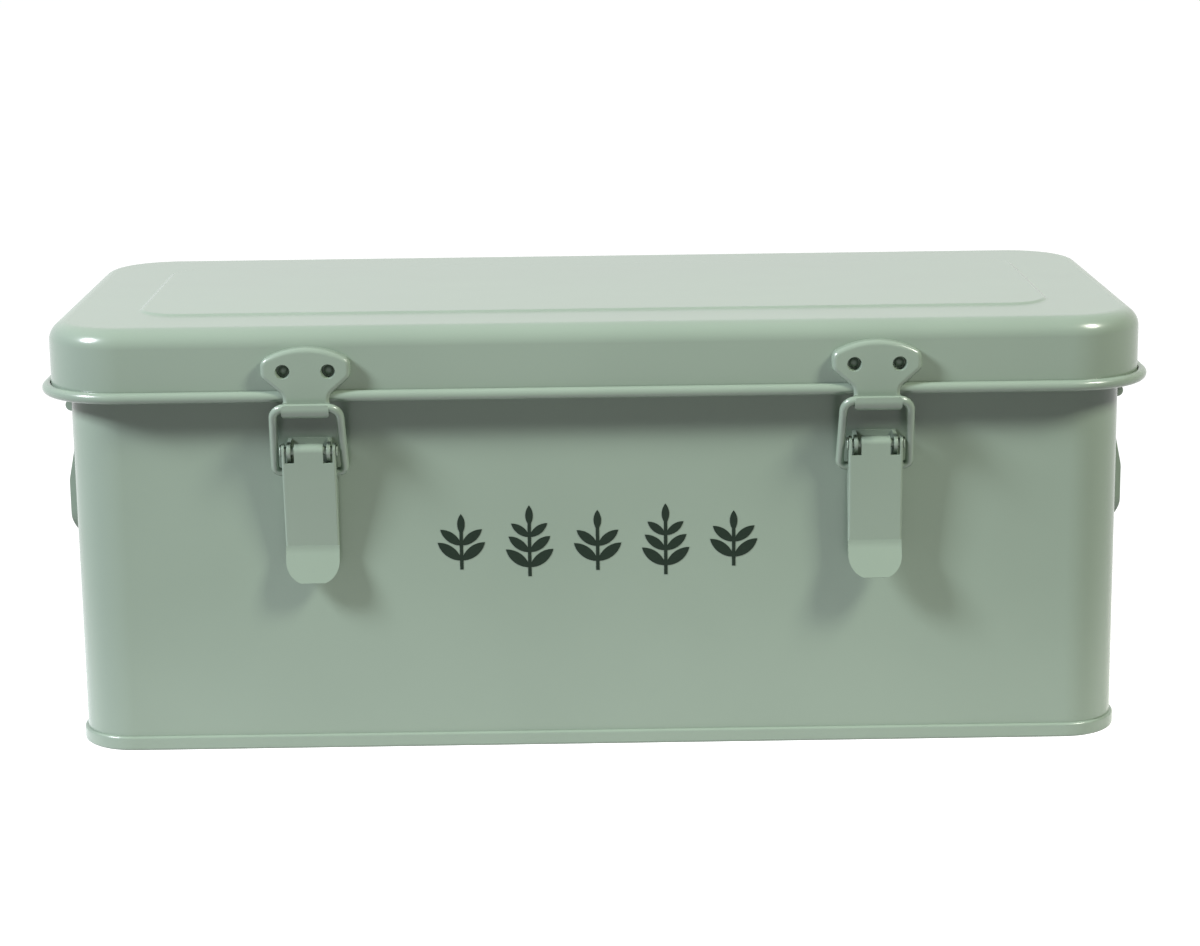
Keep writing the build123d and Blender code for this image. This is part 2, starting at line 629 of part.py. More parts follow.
def make_latch_base(x):
    """A latch base: a plate on the body with two ears that hold the lever's pin."""
    top = pin_z + BASE_ABOVE_PIN
    bottom = pin_z - BASE_BELOW_PIN
    web = extrude(
        front() * rect(wall_front, wall_front + BASE_THICKNESS, bottom, top), ear_outer, both=True
    )
    ear_foot = rect(wall_front, wall_front + BASE_THICKNESS, pin_z - EAR_BELOW_PIN, top)
    ear_edges = list(ear_foot.edges()) + list((Pos(pin_out, pin_z) * Circle(EAR_ROUND)).edges())
    ear = make_hull(ear_edges) - Pos(pin_out, pin_z) * Circle(PIN_RADIUS)
    base = web
    for side in (-1, 1):
        place = front(side * (ear_outer - EAR_THICKNESS / 2))
        base += extrude(place * ear, EAR_THICKNESS / 2, both=True)
    base = Pos(x, 0, 0) * base
    for face in base_rivet_faces(wall_front):
        base -= rivet_hole(face)
    return base


def make_lever_pin(x):
    """The pin of a lever, headed over at both ends."""
    half = LEVER_WIDTH / 2 + AXIAL_PLAY
    pin = Cylinder(PIN_RADIUS, 2 * half)
    for side in (-1, 1):
        place = Pos(0, 0, side * (half + PIN_HEAD_HEIGHT / 2))
        pin += place * Cylinder(PIN_HEAD_RADIUS, PIN_HEAD_HEIGHT)
    ends = pin.edges().filter_by(GeomType.CIRCLE).group_by(Axis.Z)
    pin = fillet(list(ends[0]) + list(ends[-1]), PIN_HEAD_HEIGHT * 0.8)
    return Pos(x, -pin_out, pin_z) * Rot(0, 90, 0) * pin


# ---- the hinges ----
def make_lid_leaf(x):
    """A hinge leaf, riveted to the lid, that reaches over the bead to the middle knuckle."""
    half = LEAF_THICKNESS / 2
    top = lid_top - LID_LEAF_TOP_DROP
    plate = rect(skirt_front, skirt_front + LEAF_THICKNESS, top - LID_LEAF_HEIGHT, top)
    plate_outline = rect(-LEAF_WIDTH / 2, LEAF_WIDTH / 2, top - LID_LEAF_HEIGHT, top)
    plate_outline = fillet(plate_outline.vertices(), LEAF_ROUND)
    leaf = extrude(back() * plate, LEAF_WIDTH / 2, both=True)
    leaf &= standing(plate_outline, skirt_front - OVERCUT, skirt_front + OVERCUT, 1)
    strap = band(
        LEAF_THICKNESS,
        rounded_line(
            [
                (skirt_front + half, top - LEAF_ROUND),
                (skirt_front + half, jog_z + JOG_DROP),
                (strap_back + half, jog_z),
                (strap_back + half, hinge_z),
            ],
            1.5,
            1.5,
        ),
    )
    knuckle = Pos(hinge_out, hinge_z) * (Circle(knuckle_outer) - Circle(knuckle_inner))
    leaf += extrude(back() * (strap + knuckle), KNUCKLE_WIDTH / 2, both=True)
    leaf = Pos(x, 0, 0) * leaf
    for face in hinge_rivet_faces(skirt_front, leaf_rivet_z):
        leaf -= rivet_hole(face)
    return leaf


def make_body_leaf(x):
    """A hinge leaf, riveted to the back wall, that slopes out to the two outer knuckles."""
    half = LEAF_THICKNESS / 2
    start = (wall_front + half, body_leaf_top)
    across = hinge_out - start[0]
    up = hinge_z - start[1]
    tangent_radius = knuckle_inner + half
    reach = math.sqrt(across**2 + up**2 - tangent_radius**2)
    angle = math.atan2(up, across) - math.asin(tangent_radius / math.hypot(across, up))
    meet = (start[0] + reach * math.cos(angle), start[1] + reach * math.sin(angle))
    strap = band(
        LEAF_THICKNESS,
        rounded_line([(start[0], body_leaf_top - BODY_LEAF_HEIGHT), start, meet], 2.0),
    )
    knuckle = Pos(hinge_out, hinge_z) * (Circle(knuckle_outer) - Circle(knuckle_inner))
    section = strap - Pos(hinge_out, hinge_z) * Circle(knuckle_inner) + knuckle
    leaf = extrude(back() * section, LEAF_WIDTH / 2, both=True)
    clear = KNUCKLE_WIDTH / 2 + KNUCKLE_GAP
    notch_bottom = hinge_z - knuckle_outer - KNUCKLE_GAP
    notch_back = hinge_out - knuckle_outer - OVERCUT
    notch = rect(notch_back, hinge_out + OVERCUT, notch_bottom, hinge_z + OVERCUT)
    leaf -= extrude(back() * notch, clear, both=True)
    low_corners = leaf.edges().filter_by(Axis.Y).group_by(Axis.Z)[0]
    leaf = fillet(low_corners, LEAF_ROUND)
    leaf = Pos(x, 0, 0) * leaf
    for face in hinge_rivet_faces(wall_front, body_leaf_rivet_z):
        leaf -= rivet_hole(face)
    return leaf


def make_hinge_pin(x):
    """The pin through a hinge's three knuckles."""
    pin = chamfer(Cylinder(HINGE_PIN_RADIUS, LEAF_WIDTH).edges().filter_by(GeomType.CIRCLE), 0.2)
    return Pos(x, hinge_out, hinge_z) * Rot(0, 90, 0) * pin


# ---- the handles, made for the right end wall ----
def make_handle_bracket():
    """A plate riveted to the end wall, with two saddles pressed over the handle's pins."""
    low = HANDLE_PIVOT_HEIGHT - BRACKET_BELOW_PIVOT
    high = HANDLE_PIVOT_HEIGHT + BRACKET_ABOVE_PIVOT
    outline = fillet(
        rect(-saddle_y - SADDLE_WIDTH / 2, saddle_y + SADDLE_WIDTH / 2, low, high).vertices(),
        BRACKET_ROUND,
    )
    plane = Plane(origin=(wall_end, 0, 0), x_dir=(0, 1, 0), z_dir=(1, 0, 0))
    plate = extrude(plane * outline, BRACKET_SHEET)
    inner = HANDLE_PIN_RADIUS + RUNNING_FIT
    outer = inner + BRACKET_SHEET
    pivot_out = wall_end + HANDLE_PIVOT_OUT
    pivot = Pos(pivot_out, HANDLE_PIVOT_HEIGHT)
    hump = pivot * Circle(outer)
    hump += rect(wall_end, pivot_out, HANDLE_PIVOT_HEIGHT - outer, HANDLE_PIVOT_HEIGHT + outer)
    hollow = pivot * Circle(inner)
    hollow += rect(
        wall_end - OVERCUT, pivot_out, HANDLE_PIVOT_HEIGHT - inner, HANDLE_PIVOT_HEIGHT + inner
    )
    beyond_wall = rect(wall_end, pivot_out + 2 * outer, low, high)
    for side in (-1, 1):
        plate += extrude(end(side * saddle_y) * (hump & beyond_wall), SADDLE_WIDTH / 2, both=True)
    for side in (-1, 1):
        plate -= extrude(end(side * saddle_y) * hollow, SADDLE_WIDTH / 2, both=True)
    for face in handle_rivet_faces(wall_end):
        plate -= rivet_hole(face)
    return plate


def grip_section(shift, back_out):
    """The section between the handle's middle line, moved out by a shift, and a plane behind it."""
    arm = wall_end + HANDLE_BACK + HANDLE_SHEET / 2 + shift
    swell = arm + GRIP_SWELL
    line = rounded_line(
        [
            (arm, HANDLE_PIVOT_HEIGHT),
            (arm, HANDLE_PIVOT_HEIGHT - GRIP_TOP_DROP),
            (swell, HANDLE_PIVOT_HEIGHT - GRIP_SWELL_DROP),
            (swell, HANDLE_PIVOT_HEIGHT - GRIP_SWELL_END_DROP),
            (arm, HANDLE_PIVOT_HEIGHT - GRIP_DROP),
        ],
        GRIP_BEND,
        GRIP_BEND,
        GRIP_BEND,
    )
    bottom = HANDLE_PIVOT_HEIGHT - GRIP_DROP
    behind = Polyline(
        (arm, bottom), (back_out, bottom), (back_out, HANDLE_PIVOT_HEIGHT), (arm, HANDLE_PIVOT_HEIGHT)
    )
    return make_face(Curve() + [line, behind])


def make_handle():
    """A pressed handle: a swelled grip, two arms, a turned-back rim, and pins in from the arms."""
    half = HANDLE_SHEET / 2
    bottom = HANDLE_PIVOT_HEIGHT - GRIP_DROP
    outline = rect(-HANDLE_LENGTH / 2, HANDLE_LENGTH / 2, bottom, HANDLE_PIVOT_HEIGHT)
    outline = fillet(outline.vertices().sort_by(Axis.Y)[:2], GRIP_CORNER)
    window = rect(
        -arm_inner, arm_inner, HANDLE_PIVOT_HEIGHT - GRIP_TOP_DROP, HANDLE_PIVOT_HEIGHT + OVERCUT
    )
    window = fillet(window.vertices().sort_by(Axis.Y)[:2], GRIP_WINDOW_CORNER)
    half_inside = HANDLE_LENGTH / 2 - HANDLE_SHEET
    inside = rect(-half_inside, half_inside, bottom + HANDLE_SHEET, HANDLE_PIVOT_HEIGHT + OVERCUT)
    inside = fillet(inside.vertices().sort_by(Axis.Y)[:2], GRIP_CORNER - HANDLE_SHEET)
    plane = Plane(origin=(wall_end - OVERCUT, 0, 0), x_dir=(0, 1, 0), z_dir=(1, 0, 0))
    solid = extrude(end() * grip_section(half, wall_end + GRIP_RIM_GAP), HANDLE_LENGTH, both=True)
    handle = solid & extrude(plane * (outline - window), 4 * OVERCUT)
    hollow = extrude(end() * grip_section(-half, wall_end - OVERCUT), HANDLE_LENGTH, both=True)
    handle -= hollow & extrude(plane * inside, 4 * OVERCUT)
    pivot = Pos(wall_end + HANDLE_PIVOT_OUT, HANDLE_PIVOT_HEIGHT)
    for side in (-1, 1):
        eye_y = side * (arm_inner + HANDLE_ARM / 2)
        handle += extrude(end(eye_y) * pivot * Circle(HANDLE_EYE_RADIUS), HANDLE_ARM / 2, both=True)
        pin_y = side * (arm_inner - HANDLE_PIN_LENGTH / 2)
        pin = end(pin_y) * pivot * Circle(HANDLE_PIN_RADIUS)
        handle += extrude(pin, HANDLE_PIN_LENGTH / 2, both=True)
    return handle


# ---- the print ----
def leaf_face(length):
    """A pointed leaf that grows upwards from the origin."""
    half = length * LEAF_BREADTH / 2
    sides = [
        ThreePointArc((0, 0), (half, length / 2), (0, length)),
        ThreePointArc((0, length), (-half, length / 2), (0, 0)),
    ]
    return make_face(Curve() + sides)


def sprig_face(height):
    """A seedling: a stem, pairs of leaves that shorten upwards, and a leaf at its tip."""
    tip_leaf = LEAF_LENGTH * 0.7
    stem_top = height - tip_leaf * 0.8
    face = Pos(0, stem_top / 2) * Rectangle(SPRIG_STEM, stem_top)
    face += Pos(0, height - tip_leaf) * leaf_face(tip_leaf)
    pairs = int((stem_top - LEAF_STEP) / LEAF_STEP) + 1
    for pair in range(pairs):
        length = LEAF_LENGTH * (1 - 0.12 * pair)
        for side in (-1, 1):
            face += Pos(0, LEAF_STEP * (pair + 0.6)) * Rot(0, 0, side * LEAF_LEAN) * leaf_face(length)
    return face


def make_front_print():
    """The print on the front wall, one thin solid for each seedling."""
    sprigs = []
    for place, height in enumerate(SPRIG_HEIGHTS):
        across = (place - (len(SPRIG_HEIGHTS) - 1) / 2) * SPRIG_SPACING
        outline = Pos(across, PRINT_HEIGHT_MIDDLE - height / 2) * sprig_face(height)
        sprigs.append(standing(outline, wall_front, wall_front + PRINT_THICKNESS, -1))
    return sprigs


# ---- the box, piece by piece ----
def make_nodes():
    """Every piece of the box, by name."""
    nodes = {"base_pan": make_base_pan(), "lid": make_lid()}
    wall, rim = make_body_wall(), make_body_rim()
    for name, side in (("left", -1), ("right", 1)):
        nodes[f"{name}_body_wall"] = half_of(wall, side)
        nodes[f"{name}_body_rim"] = half_of(rim, side)
    inside_width = BODY_WIDTH - 2 * SHEET
    for bay in range(1, BAYS):
        nodes[f"divider_{bay}"] = make_divider(-inside_width / 2 + inside_width * bay / BAYS)

    for side, x in LATCH_X.items():
        nodes[f"{side}_striker_plate"] = make_striker(x)
        nodes[f"{side}_latch_base"] = make_latch_base(x)
        nodes[f"{side}_lever_pin"] = make_lever_pin(x)
        nodes[f"{side}_lever"] = make_lever(side)
        nodes[f"{side}_loop"] = make_loop(side)
    striker_grip = STRIKER_THICKNESS + SHEET
    nodes["striker_rivets"] = [
        rivet(face, striker_grip, SMALL_RIVET)
        for face in striker_rivet_faces(skirt_front + STRIKER_THICKNESS)
    ]
    base_face = wall_front + BASE_THICKNESS
    nodes["latch_base_rivets"] = [
        rivet(face, BASE_THICKNESS + SHEET) for face in base_rivet_faces(base_face)
    ]

    for side, x in (("left", -HINGE_X), ("right", HINGE_X)):
        nodes[f"{side}_hinge_lid_leaf"] = make_lid_leaf(x)
        nodes[f"{side}_hinge_body_leaf"] = make_body_leaf(x)
        nodes[f"{side}_hinge_pin"] = make_hinge_pin(x)
    leaf_grip = LEAF_THICKNESS + SHEET
    nodes["lid_hinge_rivets"] = [
        rivet(face, leaf_grip) for face in hinge_rivet_faces(skirt_front + LEAF_THICKNESS, leaf_rivet_z)
    ]
    nodes["body_hinge_rivets"] = [
        rivet(face, leaf_grip)
        for face in hinge_rivet_faces(wall_front + LEAF_THICKNESS, body_leaf_rivet_z)
    ]

    right_pieces = {"handle_bracket": make_handle_bracket(), "handle": make_handle()}
    for name, piece in right_pieces.items():
        nodes[f"right_{name}"] = piece
        nodes[f"left_{name}"] = mirrored(piece)
    right_rivets = [
        rivet(face, BRACKET_SHEET + SHEET) for face in handle_rivet_faces(wall_end + BRACKET_SHEET)
    ]
    nodes["handle_rivets"] = right_rivets + [mirrored(piece) for piece in right_rivets]
    nodes["front_print"] = make_front_print()
    return nodes


os.makedirs("parts", exist_ok=True)
for name, piece in make_nodes().items():
    pieces = piece if isinstance(piece, list) else [piece]
    found = [solid for each in pieces for solid in each.solids()]
    shape = found[0] if len(found) == 1 else Compound(children=found)
    export_step(Pos(0, centring, 0) * shape, f"parts/{name}.step")
    print(f"{name}: {len(found)} solid(s), {sum(solid.volume for solid in found):.0f} mm3")

print(f"moved along Y {centring:.4f}, wall front {wall_front:.4f}")
print(f"lid top {lid_top:.4f}, bead underside {bead_bottom:.4f}, hook {hook_out:.4f} {hook_z:.4f}")
print(f"bar {bar_out:.4f} {bar_z:.4f}, lever pin {pin_out:.4f} {pin_z:.4f}")
print(f"hinge pin {hinge_out:.4f} {hinge_z:.4f}")
for side in LATCH_X:
    print(f"{side} loop feet {loop_feet(side)[0]:.4f} {loop_feet(side)[1]:.4f}")
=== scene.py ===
"""Looks of a steel box in sage-green gloss enamel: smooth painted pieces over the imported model.

Sizes are in millimetres, as in the part's source. "out" is a distance outwards from the middle
of the box, square to the face that a piece is mounted on. mm() turns a place into metres.
"""

import math

import bmesh
import bpy
from mathutils import Matrix, Vector


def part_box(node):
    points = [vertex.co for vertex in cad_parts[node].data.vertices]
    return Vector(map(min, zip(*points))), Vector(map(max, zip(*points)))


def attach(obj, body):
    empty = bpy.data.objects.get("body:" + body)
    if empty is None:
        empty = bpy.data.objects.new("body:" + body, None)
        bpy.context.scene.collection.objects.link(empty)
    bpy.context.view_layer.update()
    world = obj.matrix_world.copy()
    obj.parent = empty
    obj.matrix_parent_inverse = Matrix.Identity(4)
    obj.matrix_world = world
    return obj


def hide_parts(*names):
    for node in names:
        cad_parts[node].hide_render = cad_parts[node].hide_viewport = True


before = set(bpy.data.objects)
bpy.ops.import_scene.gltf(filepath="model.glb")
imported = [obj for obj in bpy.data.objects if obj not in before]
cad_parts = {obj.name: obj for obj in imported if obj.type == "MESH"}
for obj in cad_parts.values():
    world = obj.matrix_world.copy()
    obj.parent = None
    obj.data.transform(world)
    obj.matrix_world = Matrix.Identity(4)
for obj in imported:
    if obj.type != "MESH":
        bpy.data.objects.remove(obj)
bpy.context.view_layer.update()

# ---- sizes that the part's source has too ----
BODY_WIDTH, BODY_DEPTH, BODY_HEIGHT, BODY_CORNER = 332.5, 143.1, 135.75, 17.6
SHEET = 0.6
RIM_RADIUS, RIM_OUT = 2.2, 1.6
LID_WIDTH, LID_DEPTH, LID_CORNER = 345.0, 155.6, 25.0
LID_TOP, LID_EDGE = 136.9834, 6.0
BEAD_RADIUS, BEAD_OUT, BEAD_BOTTOM = 1.75, 1.15, 114.1834
CURL_OPENING = 65  # degrees that a rolled tube lacks before it meets its own sheet
CURL_EASE = 3.0  # the skirt has a row of points this far above the middle of its bead
WALL_EASE = 6.0  # the wall has one this far below the middle of its rim, and one this high
PANEL_INSET, PANEL_CORNER, PANEL_RISE, PANEL_SLOPE = 26.0, 15.0, 0.6, 2.0
PAN_BEAD_HEIGHT, PAN_BEAD_REACH, PAN_FOLD, FLOOR_TOP = 4.6, 1.1, 0.7, 2.6
PAN_LOW_ROUND, PAN_HIGH_ROUND = 0.9, 0.8
SEAM_WIDTH, SEAM_THICKNESS, SEAM_SINK = 5.0, 0.6, 0.3
LATCH_X = {"left": -89.5, "right": 86.9}
WIRE_RADIUS = 1.3
BAR = (83.35, 113.0736)
LOOP_FEET = {"left": (74.0483, 91.0153), "right": (74.7168, 90.6994)}
LEVER_PIN_Z = 98.5136
LOOP_FOOT_END, LOOP_FOOT_HALF, LOOP_TOP_HALF = 7.15, 11.0, 10.3
LOOP_FOOT_BEND, LOOP_TOP_BEND = 2.1, 3.7
HINGE_X, HINGE_Z = 100.0, 111.5334

WALL_OUT, SKIRT_OUT = BODY_DEPTH / 2, LID_DEPTH / 2

# ---- rivets: sheet under the head, distance to each side, and drop or height ----
STRIKER_SHEET, STRIKER_RIVET_SIDE, STRIKER_RIVET_DROP = 0.9, 7.0, 12.9
BASE_SHEET, BASE_RIVET_DROPS = 1.0, (7.0, 19.0)
LEAF_SHEET, LEAF_RIVET_SIDE, LID_LEAF_RIVET_DROP, BODY_LEAF_RIVET_DROP = 1.0, 9.0, 12.0, 16.3
BRACKET_SHEET, BRACKET_RIVET_SIDE, BRACKET_RIVET_Z = 0.8, 14.0, 107.5
HEAD_RADIUS, HEAD_HEIGHT, SHANK_RADIUS = 2.3, 0.9, 1.5
TAIL_RADIUS, TAIL_HEIGHT, TAIL_ROUND = 2.2, 0.4, 0.1
SMALL_RIVET = 0.7  # the striker plates' rivets are this much smaller
GRIP, SMALL_GRIP = 1.6, 1.5  # the sheets that a rivet holds together

low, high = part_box("lid")
CENTRING = (low.y + high.y) / 2 * 1000  # the box's own middle along Y

# ---- how finely round shapes are divided ----
CORNER_STEPS = 28
ARC_STEP = 9.0  # degrees along a curl
BEND_STEPS = 9
WIRE_SIDES = 24
RIVET_SIDES = 32
DOME_STEPS = 6
PANEL_STEPS = 8
SHELL_SHARP, FITTING_SHARP = 50, 40  # edges that turn more than this many degrees stay crisp


def mm(x, y, z):
    """A place in the box's own millimetres as a point in metres."""
    return Vector((x, y + CENTRING, z)) / 1000


# ---- the camera, at the photograph's place ----
CAMERA_PLACE = (-6.4933, -956.6089, 283.6405)
CAMERA_PITCH, CAMERA_ROLL, CAMERA_YAW = 0.2168, -0.0124, -0.0085  # radians: down, over, left
camera_data = bpy.data.cameras.new("photo_camera")
camera_data.sensor_width = 36.0
camera_data.lens = 86.55
camera_data.clip_start = 0.01
camera = bpy.data.objects.new("photo_camera", camera_data)
bpy.context.scene.collection.objects.link(camera)
level = Vector((math.cos(CAMERA_YAW), math.sin(CAMERA_YAW), 0))
ahead = Vector(
    (
        -math.sin(CAMERA_YAW) * math.cos(CAMERA_PITCH),
        math.cos(CAMERA_YAW) * math.cos(CAMERA_PITCH),
        -math.sin(CAMERA_PITCH),
    )
)
upright = level.cross(ahead)
across = math.cos(CAMERA_ROLL) * level + math.sin(CAMERA_ROLL) * upright
upwards = -math.sin(CAMERA_ROLL) * level + math.cos(CAMERA_ROLL) * upright
turn = Matrix((across, upwards, -ahead)).transposed().to_4x4()
camera.matrix_world = Matrix.Translation(mm(*CAMERA_PLACE)) @ turn
bpy.context.scene.camera = camera
bpy.context.scene.view_settings.view_transform = "Standard"


# ---- materials ----
ENAMEL_DARK, ENAMEL_LIGHT = "#7B8C7C", "#7F9080"
INK_DARK, INK_LIGHT = "#121D15", "#1B2A1F"
ZINC = "#B9BAB6"


def linear(hex_colour):
    """An sRGB hex colour as linear red, green, blue and alpha."""
    shares = [int(hex_colour[i : i + 2], 16) / 255 for i in (1, 3, 5)]
    return [s / 12.92 if s <= 0.04045 else ((s + 0.055) / 1.055) ** 2.4 for s in shares] + [1.0]


def add_node(tree, kind, settings=None, **links):
    """Adds a node. Settings are its properties or sockets; links are socket=(node, output)."""
    made = tree.nodes.new(kind)
    for name, value in (settings or {}).items():
        if name in made.inputs:
            made.inputs[name].default_value = value
        else:
            setattr(made, name, value)
    for name, (source, output) in links.items():
        spaced = name.replace("_", " ")
        index = int(name[1:]) if name[0] == "i" and name[1:].isdigit() else spaced
        tree.links.new(source.outputs[output], made.inputs[index])
    return made


def new_material(name):
    """An empty node material."""
    material = bpy.data.materials.new(name)
    material.use_nodes = True
    material.node_tree.nodes.clear()
    return material, material.node_tree


def make_gloss_enamel():
    """Baked gloss enamel sprayed on sheet steel: even colour, wet shine, slight orange peel."""
    material, tree = new_material("gloss_enamel_on_steel")
    place = add_node(tree, "ShaderNodeTexCoord")
    # The colour wanders by about 2 percent over 60 mm, as sprayed paint does.
    drift = add_node(
        tree, "ShaderNodeTexNoise", {"Scale": 16.0, "Detail": 2.0}, Vector=(place, "Object")
    )
    thick = add_node(tree, "ShaderNodeValToRGB", Fac=(drift, 0))
    thick.color_ramp.elements[0].color = linear(ENAMEL_DARK)
    thick.color_ramp.elements[0].position = 0.3
    thick.color_ramp.elements[1].color = linear(ENAMEL_LIGHT)
    thick.color_ramp.elements[1].position = 0.7
    # Orange peel is 1 to 2 mm across. Under it the sheet itself waves by a few micrometres.
    peel = add_node(
        tree, "ShaderNodeTexNoise", {"Scale": 620.0, "Detail": 1.0}, Vector=(place, "Object")
    )
    wave = add_node(
        tree, "ShaderNodeTexNoise", {"Scale": 22.0, "Detail": 0.0}, Vector=(place, "Object")
    )
    waved = add_node(
        tree, "ShaderNodeBump", {"Strength": 0.5, "Distance": 0.00012}, Height=(wave, 0)
    )
    peeled = add_node(
        tree,
        "ShaderNodeBump",
        {"Strength": 0.35, "Distance": 0.000012},
        Height=(peel, 0),
        Normal=(waved, 0),
    )
    shine = add_node(tree, "ShaderNodeMapRange", {"To Min": 0.2, "To Max": 0.27}, Value=(drift, 0))
    paint = add_node(
        tree,
        "ShaderNodeBsdfPrincipled",
        {"IOR": 1.5},
        Base_Color=(thick, 0),
        Roughness=(shine, 0),
        Normal=(peeled, 0),
    )
    add_node(tree, "ShaderNodeOutputMaterial", Surface=(paint, 0))
    return material


def make_print_ink():
    """Screen-printed ink baked over the enamel: flat, a little matter, thin enough to mottle."""
    material, tree = new_material("screen_print_ink")
    place = add_node(tree, "ShaderNodeTexCoord")
    mottle = add_node(
        tree, "ShaderNodeTexNoise", {"Scale": 900.0, "Detail": 3.0}, Vector=(place, "Object")
    )
    colour = add_node(tree, "ShaderNodeValToRGB", Fac=(mottle, 0))
    colour.color_ramp.elements[0].color = linear(INK_DARK)
    colour.color_ramp.elements[1].color = linear(INK_LIGHT)
    ink = add_node(
        tree,
        "ShaderNodeBsdfPrincipled",
        {"Roughness": 0.45, "IOR": 1.5, "Specular IOR Level": 0.15},
        Base_Color=(colour, 0),
    )
    add_node(tree, "ShaderNodeOutputMaterial", Surface=(ink, 0))
    return material


def make_zinc_plate():
    """Bright zinc plating on drawn wire: a grey metal with fine lines along X from drawing."""
    material, tree = new_material("zinc_plated_steel")
    place = add_node(tree, "ShaderNodeTexCoord")
    along = add_node(
        tree, "ShaderNodeMapping", {"Scale": (60.0, 1600.0, 1600.0)}, Vector=(place, "Object")
    )
    lines = add_node(tree, "ShaderNodeTexNoise", {"Scale": 1.0, "Detail": 3.0}, Vector=(along, 0))
    rough = add_node(tree, "ShaderNodeMapRange", {"To Min": 0.25, "To Max": 0.42}, Value=(lines, 0))
    drawn = add_node(
        tree, "ShaderNodeBump", {"Strength": 0.3, "Distance": 0.00001}, Height=(lines, 0)
    )
    metal = add_node(
        tree,
        "ShaderNodeBsdfPrincipled",
        {"Base Color": linear(ZINC), "Metallic": 1.0},
        Roughness=(rough, 0),
        Normal=(drawn, 0),
    )
    add_node(tree, "ShaderNodeOutputMaterial", Surface=(metal, 0))
    return material


enamel = make_gloss_enamel()
ink = make_print_ink()
zinc = make_zinc_plate()


# ---- mesh helpers ----
def mesh_piece(name, bm, material):
    """A new object from a bmesh whose places are in metres."""
    bmesh.ops.recalc_face_normals(bm, faces=bm.faces)
    mesh = bpy.data.meshes.new(name)
    bm.to_mesh(mesh)
    bm.free()
    mesh.materials.append(material)
    piece = bpy.data.objects.new(name, mesh)
    bpy.context.scene.collection.objects.link(piece)
    return piece


def plain_mesh(piece):
    """Turns a piece with its modifiers into a plain mesh."""
    evaluated = piece.evaluated_get(bpy.context.evaluated_depsgraph_get())
    mesh = bpy.data.meshes.new_from_object(evaluated)
    piece.modifiers.clear()
    piece.data = mesh
    return piece


def softened(piece, edge=0.0, sharp=SHELL_SHARP):
    """Rounds the sharp edges as paint does, and keeps flat faces flat in the light."""
    piece.data.shade_smooth()
    if edge:
        bevel = piece.modifiers.new("edge", "BEVEL")
        bevel.width = edge / 1000
        bevel.segments = 2
        bevel.limit_method = "ANGLE"
        bevel.angle_limit = math.radians(sharp)
        plain_mesh(piece)
    piece.data.shade_smooth()
    piece.data.set_sharp_from_angle(angle=math.radians(sharp))
    weighted = piece.modifiers.new("flats", "WEIGHTED_NORMAL")
    weighted.keep_sharp = True
    return plain_mesh(piece)


def rides(piece, body, nodes):
    """Puts a piece on its body in place of CAD nodes."""
    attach(piece, body)
    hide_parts(*nodes)
    return piece


def arc(out, z, radius, start, end):
    """Points of a section's arc, from start to end degrees; 0 points out and 90 up."""
    steps = max(2, round(abs(end - start) / ARC_STEP))
    turns = [math.radians(start + (end - start) * i / steps) for i in range(steps + 1)]
    return [(out + radius * math.cos(a), z + radius * math.sin(a)) for a in turns]


def ring(width, depth, corner, z):
    """Points round a rounded rectangle."""
    points = []
    for x, y, start in ((1, -1, -90), (1, 1, 0), (-1, 1, 90), (-1, -1, 180)):
        for i in range(CORNER_STEPS + 1):
            a = math.radians(start + 90 * i / CORNER_STEPS)
            px = x * (width / 2 - corner) + corner * math.cos(a)
            py = y * (depth / 2 - corner) + corner * math.sin(a)
            points.append(mm(px, py, z))
    return points


def carried_round(section, width, depth, corner):
    """The rings of a section whose out is counted from a rounded rectangle."""
    return [ring(width + 2 * out, depth + 2 * out, corner + out, z) for out, z in section]


def skin(bm, rings, closed):
    """Faces between rings in turn: closed back to the first, or capped at both ends."""
    rows = [[bm.verts.new(p) for p in points] for points in rings]
    pairs = list(zip(rows, rows[1:] + rows[:1])) if closed else list(zip(rows, rows[1:]))
    for one, other in pairs:
        for i in range(len(one)):
            j = (i + 1) % len(one)
            bm.faces.new((one[i], one[j], other[j], other[i]))
    if not closed:
        bm.faces.new(rows[0])
        bm.faces.new(rows[-1])


# ---- the shells ----
def make_lid():
    """The pressed lid: raised panel, rounded edge, skirt and curled bead, inside and outside."""

    def top_rings(z_shift):
        rings = []
        for step in range(PANEL_STEPS + 1):
            share = step / PANEL_STEPS
            inset = 2 * (PANEL_INSET + PANEL_SLOPE * (1 - share))
            rise = PANEL_RISE * (0.5 + 0.5 * math.cos(math.pi * share))
            corner = PANEL_CORNER - PANEL_SLOPE * (1 - share)
            z = LID_TOP + rise + z_shift
            rings.append(ring(LID_WIDTH - inset, LID_DEPTH - inset, corner, z))
        return rings

    edge_z = LID_TOP - LID_EDGE
    bead_z = BEAD_BOTTOM + BEAD_RADIUS
    tail = 180 - CURL_OPENING
    section = arc(-LID_EDGE, edge_z, LID_EDGE, 90, 0)
    section += [(0, bead_z + CURL_EASE)]
    section += arc(BEAD_OUT, bead_z, BEAD_RADIUS - SHEET, 180, tail + 360)
    section += arc(BEAD_OUT, bead_z, BEAD_RADIUS, tail + 360, 180)
    section += [(-SHEET, bead_z + CURL_EASE)]
    section += arc(-LID_EDGE, edge_z, LID_EDGE - SHEET, 0, 90)
    bm = bmesh.new()
    rings = top_rings(0) + carried_round(section, LID_WIDTH, LID_DEPTH, LID_CORNER)
    rings += top_rings(-SHEET)[::-1]
    skin(bm, rings, closed=False)
    return softened(mesh_piece("enamelled_lid", bm, enamel))


